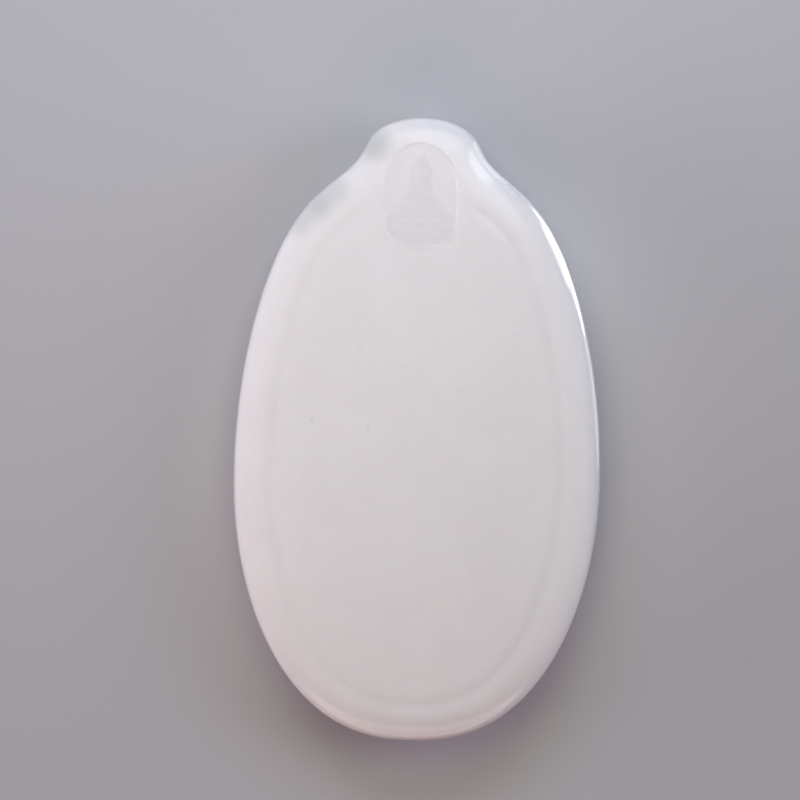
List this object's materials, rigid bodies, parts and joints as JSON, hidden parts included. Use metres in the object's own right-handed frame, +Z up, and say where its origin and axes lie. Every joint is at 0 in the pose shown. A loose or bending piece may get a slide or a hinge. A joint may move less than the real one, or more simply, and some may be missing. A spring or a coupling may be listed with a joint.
{
  "type": "jade plaque pendant",
  "caption": "Egg-shaped jade plaque pendant with a waisted tab and cord hole, a fine border line and a small niche with a seated figure in a robe and veil.",
  "frame": {"origin": "on the surface that the plaque lies on, under the middle of its outline", "axes": "+X to the right of the carved face, +Y from the bottom tip to the tab, +Z up out of the carved face"},
  "size_m": [0.034, 0.058, 0.01],
  "materials": {
    "jade": "polished to a waxy gloss, slightly translucent"
  },
  "bodies": {
    "root": {"jade_plaque": "jade"}
  },
  "joints": []
}
